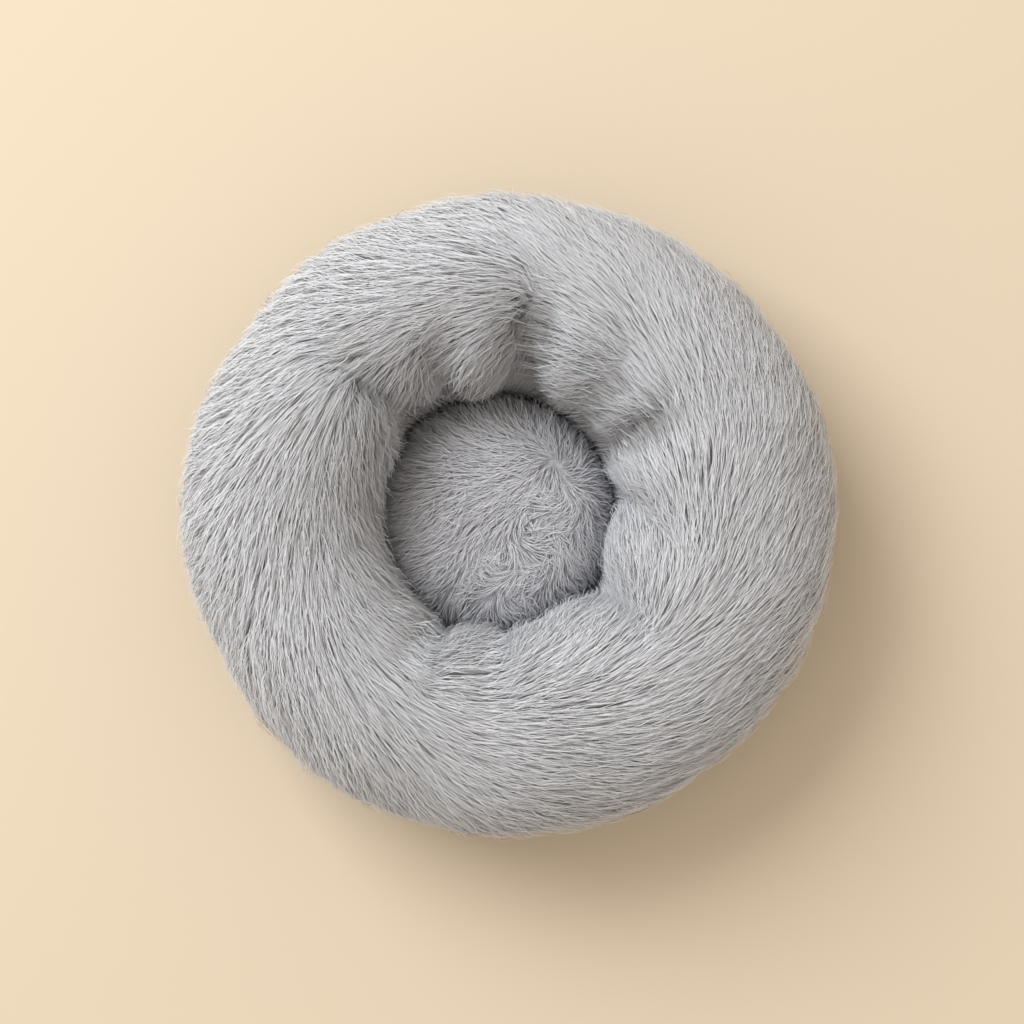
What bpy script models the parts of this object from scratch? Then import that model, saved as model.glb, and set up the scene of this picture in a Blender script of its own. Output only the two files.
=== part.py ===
"""Round plush pet bed: a stuffed ring in a zipped fur cover, with a loose cushion lying in its middle.

Units are metres and +Z is up. The origin is at the centre of the underside. The cover's zip runs
round the +X side, and its slider travels about the Z axis.
"""

import math

import bmesh
import bpy
from mathutils import Matrix, Vector

MM = 0.001

# Driving sizes of the ring, over its pile
BED_RADIUS = 250 * MM
BED_HEIGHT = 175 * MM
HOLE_RADIUS = 83 * MM
HOLE_SHIFT = -11 * MM  # the hole and its cushion sit this far off centre, along X
WAIST_HEIGHT = 87 * MM  # where the ring is widest and its hole narrowest
UPPER_FULLNESS = 2.3  # exponent of the section's superellipse: 2 is an ellipse
LOWER_FULLNESS = 3.0

# Materials' thicknesses
PLUSH = 12 * MM  # backing and lying pile
BASE_CLOTH = 2.4 * MM
CASING = 1.0 * MM
FIT_GAP = 0.3 * MM  # kept between pieces that touch

# The cover's panels meet at these directions, anticlockwise from +X
SEAM_BACK = 82.5
SEAM_FRONT = 270.0
TURN_STEP = 9  # degrees between the facets round the ring
SECTION_STEP = 10  # and round its section
INNER_SEAM_HEIGHT = 3.4 * MM

# Zip round the lower edge
ZIP_HEIGHT = 24 * MM
ZIP_HALF_SPAN = 75.0  # degrees either side of +X
ZIP_STEP = 3.0
ZIP_SLOT = 16 * MM
TAPE_THICKNESS = 0.8 * MM
COIL_THICKNESS = 1.4 * MM
COIL_WIDTH = 2.0 * MM
CHAIN_GAP = 1.8 * MM  # between the two rows, where the slider's post runs
STOP_ANGLE = 73.5
SLIDER_ANGLE = -71.5
SLIDER_LENGTH = 12 * MM
SLIDER_WIDTH = 8.4 * MM
PLATE = 1.2 * MM
PULL_LENGTH = 26 * MM
PULL_WIDTH = 7 * MM
PULL_THICKNESS = 1.4 * MM

# Loose cushion
CUSHION_RADIUS = 80.5 * MM
CUSHION_TOP = 84 * MM
CUSHION_SEAM_HEIGHT = 26 * MM
CUSHION_FULLNESS = 2.6

LABEL_ANGLE = 247.5
LABEL_WIDTH = 30 * MM
LABEL_DROP = 12 * MM
LABEL_THICKNESS = 0.5 * MM

# Worked out from the driving sizes
SECTION_RADIUS = (BED_RADIUS + HOLE_RADIUS) / 2
SECTION_HALF = (BED_RADIUS - HOLE_RADIUS) / 2


def section_point(angle, inset=0.0, foot=0.0):
    """(r, z) on the ring's section: angle 0 points outwards and 90 up, and foot is its underside's height."""
    cosine, sine = math.cos(math.radians(angle)), math.sin(math.radians(angle))
    power = 2 / (UPPER_FULLNESS if sine >= 0 else LOWER_FULLNESS)
    reach = BED_HEIGHT - inset - WAIST_HEIGHT if sine >= 0 else WAIST_HEIGHT - foot
    across = math.copysign(abs(cosine) ** power, cosine)
    return (
        SECTION_RADIUS + (SECTION_HALF - inset) * across,
        WAIST_HEIGHT + reach * math.copysign(abs(sine) ** power, sine),
    )


def section_angle(height):
    """The angle of the section's outer side at a height below the waist."""
    share = (WAIST_HEIGHT - height) / WAIST_HEIGHT
    return -math.degrees(math.asin(share ** (LOWER_FULLNESS / 2)))


def between(start, end, count):
    return [start + (end - start) * i / count for i in range(count + 1)]


# The zip lies on a cone: its middle line, the way up the cone and the way out of it, in the (r, z) plane
ZIP_MIDDLE = Vector(section_point(section_angle(ZIP_HEIGHT)))
BAND_UP = (
    Vector(section_point(section_angle(ZIP_HEIGHT + 2 * MM)))
    - Vector(section_point(section_angle(ZIP_HEIGHT - 2 * MM)))
).normalized()
BAND_OUT = Vector((BAND_UP.y, -BAND_UP.x))
SEAM_HEIGHT = ZIP_MIDDLE.y - BAND_UP.y * ZIP_SLOT / 2


def band_point(up, out=0.0):
    return ZIP_MIDDLE + BAND_UP * up + BAND_OUT * out


def off_centre(place):
    """Carries the ring's inner side over to the hole's own centre and leaves its outer side where it is."""
    inner, outer = 100 * MM, 225 * MM
    share = min(max((outer - place.xy.length) / (outer - inner), 0), 1)
    return place + Vector((HOLE_SHIFT * share * share * (3 - 2 * share), 0, 0))


def collection(name):
    made = bpy.data.collections.new(name)
    bpy.context.scene.collection.children.link(made)
    return made


def material(name, colour, roughness, metallic=0.0):
    made = bpy.data.materials.new(name)
    made.use_nodes = True
    surface = made.node_tree.nodes["Principled BSDF"]
    surface.inputs["Base Color"].default_value = (*colour, 1)
    surface.inputs["Roughness"].default_value = roughness
    surface.inputs["Metallic"].default_value = metallic
    return made


def outline_object(name, points, closed, group, finish):
    """A mesh of one line in the XZ plane, ready for a Screw about Z."""
    edges = [(i, i + 1) for i in range(len(points) - 1)]
    if closed:
        edges.append((len(points) - 1, 0))
    mesh = bpy.data.meshes.new(name)
    mesh.from_pydata([(r, 0, z) for r, z in points], edges, [])
    made = bpy.data.objects.new(name, mesh)
    group.objects.link(made)
    if finish:
        mesh.materials.append(finish)
    return made


def turn(obj, start=0.0, span=360.0, step=TURN_STEP):
    """Sweeps a line about Z from one direction through span degrees."""
    screw = obj.modifiers.new("turn", "SCREW")
    screw.axis = "Z"
    screw.angle = math.radians(span)
    screw.steps = screw.render_steps = round(span / step)
    screw.use_merge_vertices = True
    screw.merge_threshold = 1e-5
    obj.rotation_euler.z = math.radians(start)


def thicken(obj, thickness, offset=-1.0):
    solid = obj.modifiers.new("cloth", "SOLIDIFY")
    solid.thickness = thickness
    solid.offset = offset
    solid.use_even_offset = True


def settle(obj, move=lambda place: place):
    """Replaces the modifiers by the mesh that they make, with its place in its vertices."""
    bpy.context.view_layer.update()
    evaluated = obj.evaluated_get(bpy.context.evaluated_depsgraph_get())
    mesh = bpy.data.meshes.new_from_object(evaluated)
    mesh.transform(obj.matrix_world)
    for vertex in mesh.vertices:
        vertex.co = move(vertex.co)
    mesh.shade_smooth()
    mesh.set_sharp_from_angle(angle=math.radians(50))
    obj.modifiers.clear()
    obj.data = mesh
    obj.matrix_world = Matrix.Identity(4)
    return obj


def combine(obj, other, operation):
    boolean = obj.modifiers.new(other.name, "BOOLEAN")
    boolean.operation = operation
    boolean.object = other


def hide(obj):
    obj.hide_render = True
    obj.display_type = "WIRE"
    return obj


# Ring


def layer(angles, outside, inside):
    """The closed outline of a layer of the ring between two (inset, foot) sections."""
    outer = [section_point(a, *outside) for a in angles]
    inner = [section_point(a, *inside) for a in angles]
    return outer + inner[::-1]


def section_angles(first, last):
    """From one angle down to another, by way of the whole steps that lie between them."""
    steps = [a for a in range(-180, 361, SECTION_STEP) if last + 2 < a < first - 2]
    return [first, *reversed(steps), last]


def seam_wedge(name, shift, group):
    """The sector between the two seams on the +X side, moved by half of the gap that a seam leaves."""
    reach, low, high = 400 * MM, -50 * MM, 250 * MM
    corners = [(0, 0), (reach, -reach), (reach, reach)]
    for seam in (SEAM_BACK, SEAM_FRONT):
        corners.append((reach * math.cos(math.radians(seam)), reach * math.sin(math.radians(seam))))
    shape = bmesh.new()
    for x, y in corners:
        for z in (low, high):
            shape.verts.new((x + shift, y, z))
    bmesh.ops.convex_hull(shape, input=shape.verts)
    mesh = bpy.data.meshes.new(name)
    shape.to_mesh(mesh)
    shape.free()
    made = bpy.data.objects.new(name, mesh)
    group.objects.link(made)
    return hide(made)


def covers(group, helpers, finish):
    """Two fur panels: each goes up the hole's wall, over the top and down the outside to the lower seam."""
    angles = section_angles(180 - section_angle(INNER_SEAM_HEIGHT), section_angle(SEAM_HEIGHT))
    outline = layer(angles, (0, 0), (PLUSH, BASE_CLOTH))
    wedges = (
        ("ring_cover_left", "DIFFERENCE", seam_wedge("seam_left", -FIT_GAP / 2, helpers)),
        ("ring_cover_right", "INTERSECT", seam_wedge("seam_right", FIT_GAP / 2, helpers)),
    )
    panels = []
    for name, operation, wedge in wedges:
        panel = outline_object(name, outline, True, group, finish)
        turn(panel)
        settle(panel, off_centre)
        combine(panel, wedge, operation)
        panels.append(panel)
    return panels


def casing_half(name, first, last, group, finish):
    """Half of the filling's casing, from the hole's side to the outside."""
    inset, foot = PLUSH + FIT_GAP, BASE_CLOTH + FIT_GAP
    outline = layer(section_angles(first, last), (inset, foot), (inset + CASING, foot + CASING))
    made = outline_object(name, outline, True, group, finish)
    turn(made)
    return settle(made, off_centre)


def filling(group, finish):
    inset, foot = PLUSH + CASING + 2 * FIT_GAP, BASE_CLOTH + CASING + 2 * FIT_GAP
    points = [section_point(-a, inset, foot) for a in range(0, 360, SECTION_STEP)]
    made = outline_object("ring_filling", points, True, group, finish)
    turn(made)
    return settle(made, off_centre)


def base_panel(group, finish):
    """The underside's cloth: a flat disc whose rim turns up to the lower seam."""
    rim_foot = section_point(section_angle(1.2 * MM))[0]
    edge, top = section_point(section_angle(SEAM_HEIGHT))[0], SEAM_HEIGHT - FIT_GAP
    rim = [section_point(section_angle(z * MM)) for z in (13, 9, 5)]
    points = [(edge, top), (edge - 0.2 * MM, top - 1.2 * MM), *rim, (rim_foot, 0), (0, 0)]
    made = outline_object("base_panel", points, False, group, finish)
    turn(made)
    thicken(made, BASE_CLOTH)
    return settle(made)


def care_label(group, finish):
    """A small blank tag that hangs outside the lower seam."""
    points = [tuple(band_point(-up, 1.3 * MM)) for up in (7 * MM, 7 * MM + LABEL_DROP)]
    made = outline_object("care_label", points, False, group, finish)
    span = math.degrees(LABEL_WIDTH / ZIP_MIDDLE.x)
    turn(made, LABEL_ANGLE - span / 2, span, span / 3)
    thicken(made, LABEL_THICKNESS, 0)
    return settle(made)


# Zip


def band_strip(name, low, high, out, thickness, half_span, group, finish=None):
    """A strip on the zip's cone, between two heights up it."""
    points = [tuple(band_point(high, out)), tuple(band_point(low, out))]
    made = outline_object(name, points, False, group, finish)
    turn(made, -half_span, 2 * half_span, ZIP_STEP)
    thicken(made, thickness, 0)
    return settle(made)


def tapes_and_coils(group, tape, coil):
    edge, half_span = ZIP_SLOT / 2 - FIT_GAP, ZIP_HALF_SPAN - 0.1
    row_low, row_high = CHAIN_GAP / 2, CHAIN_GAP / 2 + COIL_WIDTH
    row_out = (TAPE_THICKNESS + COIL_THICKNESS) / 2 + FIT_GAP
    for place, way in (("upper", 1), ("lower", -1)):
        low, high = sorted((way * row_low, way * edge))
        band_strip(f"zip_tape_{place}", low, high, 0, TAPE_THICKNESS, half_span, group, tape)
        low, high = sorted((way * row_low, way * row_high))
        band_strip(f"zip_coil_{place}", low, high, row_out, COIL_THICKNESS, half_span, group, coil)


def band_frame(angle, out=0.0):
    """At a direction round the bed: X along the zip, Y up the cone and Z out of it."""
    around = Matrix.Rotation(math.radians(angle), 4, "Z")
    middle = band_point(0, out)
    columns = Matrix(
        (
            (0, BAND_UP.x, BAND_OUT.x, middle.x),
            (1, 0, 0, 0),
            (0, BAND_UP.y, BAND_OUT.y, middle.y),
            (0, 0, 0, 1),
        )
    )
    return around @ columns


def block(name, low, high, group, finish=None, bevel=0.0):
    """A box between two corners, in its own object's axes."""
    bpy.ops.mesh.primitive_cube_add(size=1)
    made = bpy.context.object
    made.name = made.data.name = name
    low, high = Vector(low), Vector(high)
    size = high - low
    made.data.transform(Matrix.Translation((low + high) / 2) @ Matrix.Diagonal((*size, 1)))
    for old in made.users_collection:
        old.objects.unlink(made)
    group.objects.link(made)
    if finish:
        made.data.materials.append(finish)
    if bevel:
        edge = made.modifiers.new("edge", "BEVEL")
        edge.width = bevel
        edge.segments = 2
    return made


def place_stops(group, finish):
    half_length, half_width, height = 1.2 * MM, 3.1 * MM, 1.1 * MM
    low = TAPE_THICKNESS / 2 + COIL_THICKNESS + 2 * FIT_GAP
    spans = {
        "zip_top_stop_upper": (0.4 * MM, half_width, -STOP_ANGLE),
        "zip_top_stop_lower": (-half_width, -0.4 * MM, -STOP_ANGLE),
        "zip_bottom_stop": (-half_width, half_width, STOP_ANGLE),
    }
    for name, (start, end, angle) in spans.items():
        corners = (-half_length, start, low), (half_length, end, low + height)
        made = block(name, *corners, group, finish, 0.25 * MM)
        made.matrix_world = band_frame(angle)


def slider_body(group, helpers, finish):
    """Two plates joined by a post between the rows, with side flanges and an arched bail for the pull."""
    length, width = SLIDER_LENGTH / 2, SLIDER_WIDTH / 2
    under = -TAPE_THICKNESS / 2 - 0.5 * MM
    over = TAPE_THICKNESS / 2 + COIL_THICKNESS + FIT_GAP + 0.5 * MM
    flange, post = 0.9 * MM, 0.45 * MM
    bail_half, bail_width, bail_rise = 3.8 * MM, 0.8 * MM, 3.2 * MM
    top = over + PLATE
    plate = ((-length, -width, over), (length, width, top))
    made = block("slider_body", *plate, group, finish, 0.4 * MM)
    sunk = 0.3 * MM
    extras = {
        "under_plate": ((-length, -width, under - PLATE), (length, width, under)),
        "post": ((length - 3 * MM, -post, under - sunk), (length - 0.8 * MM, post, over + sunk)),
        "flange_up": ((-length, width - flange, 1.1 * MM), (length, width, over + sunk)),
        "flange_down": ((-length, -width, 1.1 * MM), (length, flange - width, over + sunk)),
        "bail_foot_front": (
            (bail_half - PLATE, -bail_width, top - sunk),
            (bail_half, bail_width, top + bail_rise),
        ),
        "bail_foot_back": (
            (-bail_half, -bail_width, top - sunk),
            (PLATE - bail_half, bail_width, top + bail_rise),
        ),
        "bail_bridge": (
            (-bail_half, -bail_width, top + bail_rise - PLATE + 0.2 * MM),
            (bail_half, bail_width, top + bail_rise + 0.1 * MM),
        ),
    }
    for name, corners in extras.items():
        extra = hide(block(name, *corners, helpers))
        extra.matrix_world = band_frame(SLIDER_ANGLE)
        combine(made, extra, "UNION")
    made.matrix_world = band_frame(SLIDER_ANGLE)
    return made, top


def pull_tab(group, helpers, finish, slider_top):
    """A flat pull whose end bar runs under the slider's bail. Its origin is on that bar's axis."""
    half, thick = PULL_WIDTH / 2, PULL_THICKNESS / 2
    axis_height = slider_top + 0.5 * MM + thick
    made = block("pull_tab", (-thick, -half, -thick), (PULL_LENGTH, half, thick), group, finish, 0.3 * MM)
    side, deep = half - 1.2 * MM, 5 * MM
    window = block("pull_window", (thick, -side, -deep), (6 * MM, side, deep), helpers)
    eyelet = block("pull_eyelet", (19 * MM, -1.5 * MM, -deep), (22.5 * MM, 1.5 * MM, deep), helpers)
    frame = band_frame(SLIDER_ANGLE, axis_height)
    made.matrix_world = frame
    for hole in (window, eyelet):
        hide(hole).matrix_world = frame
        combine(made, hole, "DIFFERENCE")
    return made


# Cushion


def dome_point(angle, inset, foot):
    """(r, z) on the cushion's section. Angle 90 is its top and -90 its underside."""
    cosine, sine = abs(math.cos(math.radians(angle))), math.sin(math.radians(angle))
    power = 2 / CUSHION_FULLNESS
    reach = CUSHION_TOP - inset - CUSHION_SEAM_HEIGHT if sine >= 0 else foot - CUSHION_SEAM_HEIGHT
    across = cosine**power if abs(angle) < 90 else 0.0
    return (CUSHION_RADIUS - inset) * across, CUSHION_SEAM_HEIGHT + reach * abs(sine) ** power


def cushion(group, fur, cloth, stuffing):
    """A loose cushion: a fur dome seamed to a plain underside, over its filling."""
    foot, seam = BASE_CLOTH + FIT_GAP, 0.3  # the seam is in degrees of the section
    upper, lower = between(90, seam, 9), between(-seam, -90, 8)
    fur_inside = [dome_point(a, PLUSH, 0) for a in reversed(upper)]
    cloth_inside = [dome_point(a, CASING, foot + CASING) for a in reversed(lower)]
    stuffed = CASING + FIT_GAP
    lines = (
        ("cushion_top_cover", [dome_point(a, 0, 0) for a in upper] + fur_inside, fur),
        ("cushion_bottom_cover", cloth_inside + [dome_point(a, 0, foot) for a in lower], cloth),
        (
            "cushion_filling",
            [dome_point(a, PLUSH + FIT_GAP, 0) for a in upper]
            + [dome_point(a, stuffed, foot + stuffed) for a in lower[1:]],
            stuffing,
        ),
    )
    for name, line, finish in lines:
        made = outline_object(name, line, False, group, finish)
        turn(made, step=10)
        settle(made)
        made.location.x = HOLE_SHIFT


def main():
    for obj in list(bpy.data.objects):
        bpy.data.objects.remove(obj)
    bed = collection("pet_bed")
    helpers = collection("helpers")
    fur = material("ring plush", (0.60, 0.60, 0.61), 0.95)
    cushion_fur = material("cushion plush", (0.46, 0.455, 0.48), 0.95)
    cloth = material("base cloth", (0.20, 0.20, 0.21), 0.9)
    casing = material("casing cloth", (0.82, 0.82, 0.80), 0.9)
    fibre = material("polyester fibre", (0.9, 0.9, 0.88), 1.0)
    tape = material("zip tape", (0.40, 0.40, 0.42), 0.85)
    nylon = material("zip nylon", (0.45, 0.45, 0.47), 0.45)
    metal = material("zip metal", (0.60, 0.60, 0.62), 0.32, 1.0)
    satin = material("label satin", (0.85, 0.85, 0.84), 0.5)

    _, right_cover = covers(bed, helpers, fur)
    slot = band_strip("zip_slot", -0.75 * ZIP_SLOT, ZIP_SLOT / 2, 0, 50 * MM, ZIP_HALF_SPAN, helpers)
    combine(right_cover, hide(slot), "DIFFERENCE")
    casing_half("ring_liner_top", 180 - 0.2, 0.2, bed, casing)
    casing_half("ring_liner_bottom", 360 - 0.2, 180 + 0.2, bed, casing)
    filling(bed, fibre)
    base_panel(bed, cloth)
    care_label(bed, satin)
    tapes_and_coils(bed, tape, nylon)
    place_stops(bed, metal)
    _, slider_top = slider_body(bed, helpers, metal)
    pull_tab(bed, helpers, metal, slider_top)
    cushion(bed, cushion_fur, cloth, fibre)


main()
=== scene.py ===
"""A round long-pile pet bed: a stuffed ring, a loose cushion in its nest and a zip round its lower edge."""

import math

import bmesh
import bpy
import numpy as np
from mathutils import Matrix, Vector


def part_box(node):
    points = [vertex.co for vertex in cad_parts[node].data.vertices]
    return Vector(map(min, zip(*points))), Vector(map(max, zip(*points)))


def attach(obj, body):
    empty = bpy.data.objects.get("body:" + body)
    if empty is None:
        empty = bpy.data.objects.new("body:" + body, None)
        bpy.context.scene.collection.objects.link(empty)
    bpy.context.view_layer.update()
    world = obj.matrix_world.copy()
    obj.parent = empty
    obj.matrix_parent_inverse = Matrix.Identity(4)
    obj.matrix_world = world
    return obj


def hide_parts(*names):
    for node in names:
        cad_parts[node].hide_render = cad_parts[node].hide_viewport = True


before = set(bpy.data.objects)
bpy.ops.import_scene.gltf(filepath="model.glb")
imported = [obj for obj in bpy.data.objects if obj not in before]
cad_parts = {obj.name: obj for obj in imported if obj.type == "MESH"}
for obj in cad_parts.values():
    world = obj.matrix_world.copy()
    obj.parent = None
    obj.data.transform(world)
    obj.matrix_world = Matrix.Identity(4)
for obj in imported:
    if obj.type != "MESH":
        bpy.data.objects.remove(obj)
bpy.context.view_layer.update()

bl_info = {
    "name": "Round Plush Pet Bed",
    "version": (1, 0, 0),
    "blender": (4, 5, 0),
    "location": "View3D > Sidebar > Pet Bed",
    "description": "Builds a round pet bed with a long pile, its loose cushion, its zip and a small studio",
    "category": "Object",
}

MM = 0.001

# The ring's section, from its box: the covers hold the nominal surface of the pile
LEFT_LOW, LEFT_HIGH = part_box("ring_cover_left")
RIGHT_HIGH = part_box("ring_cover_right")[1]
BED_RADIUS = (RIGHT_HIGH.x - LEFT_LOW.x) / 2
BED_HEIGHT = LEFT_HIGH.z
CUSHION_LOW, CUSHION_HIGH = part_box("cushion_top_cover")
NEST_X = (CUSHION_LOW.x + CUSHION_HIGH.x) / 2
CUSHION_RADIUS = (CUSHION_HIGH.x - CUSHION_LOW.x) / 2
CUSHION_TOP = CUSHION_HIGH.z
CUSHION_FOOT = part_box("cushion_bottom_cover")[0].z
HOLE_RADIUS = CUSHION_RADIUS + 2.5 * MM
WAIST_HEIGHT = 87 * MM
SECTION_RADIUS = (BED_RADIUS + HOLE_RADIUS) / 2
SECTION_HALF = (BED_RADIUS - HOLE_RADIUS) / 2
UPPER_FULLNESS, LOWER_FULLNESS, CUSHION_FULLNESS = 2.3, 3.0, 5.5
BASE_TOP = 2.4 * MM

# The ring and its pile
RING_PILE_DEPTH = 38 * MM  # room that the pile takes at its deepest
FOOT_BULGE, ZIP_BULGE = 4.4 * MM, 2.3 * MM  # how far the ring swells out to its seam, and more at its zip
RING_VOXEL = 5 * MM
RING_SECTORS = 12

# The cushion and its pile
CUSHION_SPARE = 7 * MM  # how far it presses past its nominal radius
CUSHION_SEAM = 26 * MM
CUSHION_VOXEL = 4 * MM
CUSHION_WHORL = np.array([50 * MM, 40 * MM])  # where its pile parts, from its middle
CUSHION_PAINTED_SHADOW_SIDE = np.array([-0.93, 0.37])  # the way to its painted shadow: its pile's tone is darkened towards this side, where the ring's wall shades it

# Studio: a square key light, and what it faces
KEY_SPOT, KEY_SIZE = Vector((-2.33, 2.25, 3.15)), 2.8
BED_MIDDLE = Vector((0, 0, 0.05))

# Underside
WELT_RADIUS = 1.5 * MM
GRIP_PITCH, GRIP_REACH = 13 * MM, 196 * MM
CLOTH_STEP = 1.5  # degrees round the bed

# The zip lies on a cone either side of +X: (r, z) of its middle line, and of the ways up and out of the cone
ZIP_MIDDLE = Vector((237.7 * MM, 24.0 * MM))
BAND_UP = Vector((0.5699, 0.8217))
BAND_OUT = Vector((0.8217, -0.5699))
ZIP_HALF_SPAN = 75.0
TOOTH_PITCH = 1.5 * MM
SEAM_DROP = 8.3 * MM
LABEL_ANGLE = 247.5
LABEL_WIDTH, LABEL_DROP = 30 * MM, 12 * MM

# Tucks where the ring is gathered round its nest. Each runs from the nest's edge up over the ring: direction
# at its foot and its end in degrees, distance of its end from the nest's middle, depth and half-width in mm
TUCKS = (
    (79, 80, 196, 46, 19),
    (31, 30, 170, 30, 12),
    (50, 51, 178, 18, 19),
    (111, 110, 158, 24, 12),
    (131, 136, 184, 28, 15),
    (-113, -116, 146, 27, 8),
    (-84, -90, 158, 20, 5),
    (-34, -40, 160, 26, 14),
    (10, -9, 148, 19, 15),
)


# Settings


class PetBedPile(bpy.types.PropertyGroup):
    """How long, thick and gathered the pile is"""

    ring_density: bpy.props.FloatProperty(
        name="Ring density",
        description="Wisps of hair rooted in each square metre of the ring",
        default=375000,
    )
    cushion_density: bpy.props.FloatProperty(
        name="Cushion density",
        description="Wisps rooted in each square metre of the cushion",
        default=480000,
    )
    length: bpy.props.FloatProperty(
        name="Length", description="Length of the ring's pile", default=42 * MM, unit="LENGTH"
    )
    cushion_length: bpy.props.FloatProperty(
        name="Cushion length", description="Length of the cushion's pile", default=22 * MM, unit="LENGTH"
    )
    thickness: bpy.props.FloatProperty(
        name="Thickness",
        description="Width of one wisp of hair at its middle",
        default=0.77 * MM,
        unit="LENGTH",
    )
    lock_spacing: bpy.props.FloatProperty(
        name="Lock spacing",
        description="Distance between the locks that the hair gathers in",
        default=3.8 * MM,
        unit="LENGTH",
    )
    gathering: bpy.props.FloatProperty(
        name="Gathering",
        description="How far the wisps of a lock close up at its tip",
        default=0.86,
        subtype="FACTOR",
    )
    seed: bpy.props.IntProperty(name="Seed", description="Varies the pile", default=3)


class PetBedColours(bpy.types.PropertyGroup):
    """The finish of each piece"""

    ring_dark: bpy.props.FloatVectorProperty(
        name="Ring, dark hair",
        description="Darkest hair of the ring",
        default=(0.51, 0.525, 0.56),
        subtype="COLOR",
    )
    ring_light: bpy.props.FloatVectorProperty(
        name="Ring, light hair",
        description="Lightest hair of the ring",
        default=(0.635, 0.655, 0.695),
        subtype="COLOR",
    )
    # The cushion's hair mixes towards this colour at random and where shadow is painted on its pile
    cushion_dark: bpy.props.FloatVectorProperty(
        name="Cushion, dark hair",
        description="Darkest hair of the cushion",
        default=(0.44, 0.455, 0.50),
        subtype="COLOR",
    )
    cushion_light: bpy.props.FloatVectorProperty(
        name="Cushion, light hair",
        description="Lightest hair of the cushion",
        default=(0.755, 0.77, 0.83),
        subtype="COLOR",
    )
    base_cloth: bpy.props.FloatVectorProperty(
        name="Base cloth",
        description="Woven cloth of the undersides",
        default=(0.045, 0.045, 0.048),
        subtype="COLOR",
    )
    zip_tape: bpy.props.FloatVectorProperty(
        name="Zip tape",
        description="Woven tapes of the zip and its stitching",
        default=(0.17, 0.17, 0.18),
        subtype="COLOR",
    )
    zip_nylon: bpy.props.FloatVectorProperty(
        name="Zip nylon", description="Teeth of the zip", default=(0.46, 0.46, 0.47), subtype="COLOR"
    )
    zip_metal: bpy.props.FloatVectorProperty(
        name="Zip metal", description="Slider, pull and stops", default=(0.62, 0.61, 0.60), subtype="COLOR"
    )
    label: bpy.props.FloatVectorProperty(
        name="Label",
        description="Satin of the blank care label",
        default=(0.78, 0.77, 0.74),
        subtype="COLOR",
    )
    floor: bpy.props.FloatVectorProperty(
        name="Floor", description="Studio floor", default=(0.60, 0.513, 0.40), subtype="COLOR"
    )


class PetBedStage(bpy.types.PropertyGroup):
    """The camera and the light"""

    camera_height: bpy.props.FloatProperty(
        name="Camera height", description="Height of the camera over the floor", default=1.75, unit="LENGTH"
    )
    view_width: bpy.props.FloatProperty(
        name="View width", description="Width seen at the ring's waist", default=0.788, unit="LENGTH"
    )
    key_power: bpy.props.FloatProperty(
        name="Key power", description="Power of the key light", default=212, unit="POWER"
    )
    sky: bpy.props.FloatProperty(
        name="Sky", description="Strength of the even light from all round", default=0.83
    )


# Shape helpers


def fade(value, low, high):
    """0 at low, 1 at high and smooth between them, on numbers or arrays."""
    share = np.clip((np.asarray(value, float) - low) / (high - low), 0, 1)
    return share * share * (3 - 2 * share)


def section(angle, inset, foot):
    """(r, z) arrays on the ring's section, angle 0 pointing outwards and 90 up."""
    turn = np.radians(angle)
    upper = np.sin(turn) >= 0
    power = 2 / np.where(upper, UPPER_FULLNESS, LOWER_FULLNESS)
    reach = np.where(upper, BED_HEIGHT - inset - WAIST_HEIGHT, WAIST_HEIGHT - foot)
    across = np.sign(np.cos(turn)) * np.abs(np.cos(turn)) ** power
    up = np.sign(np.sin(turn)) * np.abs(np.sin(turn)) ** power
    return SECTION_RADIUS + (SECTION_HALF - inset) * across, WAIST_HEIGHT + reach * up


def off_centre(points):
    """Carries the ring's inner side over to the nest's own middle, as the covers are."""
    share = 1 - fade(np.hypot(points[:, 0], points[:, 1]), 100 * MM, 225 * MM)
    moved = points.copy()
    moved[:, 0] += NEST_X * share
    return moved


def round_mesh(name, rows, steps, closed):
    """A mesh from rows of (r, z), each swept round Z; closed joins the last row to the first."""
    radii, heights = rows
    turns = np.arange(steps) * 2 * math.pi / steps
    points = np.stack(
        [
            np.outer(radii, np.cos(turns)),
            np.outer(radii, np.sin(turns)),
            np.repeat(heights[:, None], steps, axis=1),
        ],
        axis=-1,
    ).reshape(-1, 3)
    count = len(radii)
    faces = []
    for i in range(count if closed else count - 1):
        for j in range(steps):
            below, k = (i + 1) % count, (j + 1) % steps
            faces.append((i * steps + j, below * steps + j, below * steps + k, i * steps + k))
    mesh = bpy.data.meshes.new(name)
    mesh.from_pydata(points.tolist(), [], faces)
    return mesh


def add_object(name, mesh):
    made = bpy.data.objects.new(name, mesh)
    bpy.context.scene.collection.objects.link(made)
    return made


def positions(mesh):
    found = np.empty(len(mesh.vertices) * 3)
    mesh.vertices.foreach_get("co", found)
    return found.reshape(-1, 3)


def place(mesh, points):
    mesh.vertices.foreach_set("co", np.ascontiguousarray(points, float).ravel())
    mesh.update()


def normals(mesh):
    found = np.empty(len(mesh.vertices) * 3)
    mesh.vertex_normals.foreach_get("vector", found)
    return found.reshape(-1, 3)


def apply_modifiers(obj):
    """Replaces the modifiers by the mesh that they make."""
    bpy.context.view_layer.update()
    graph = bpy.context.evaluated_depsgraph_get()
    evaluated = obj.evaluated_get(graph)
    mesh = bpy.data.meshes.new_from_object(evaluated, preserve_all_data_layers=True, depsgraph=graph)
    obj.modifiers.clear()
    old = obj.data
    obj.data = mesh
    mesh.name = obj.name
    bpy.data.meshes.remove(old)
    return obj


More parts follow.
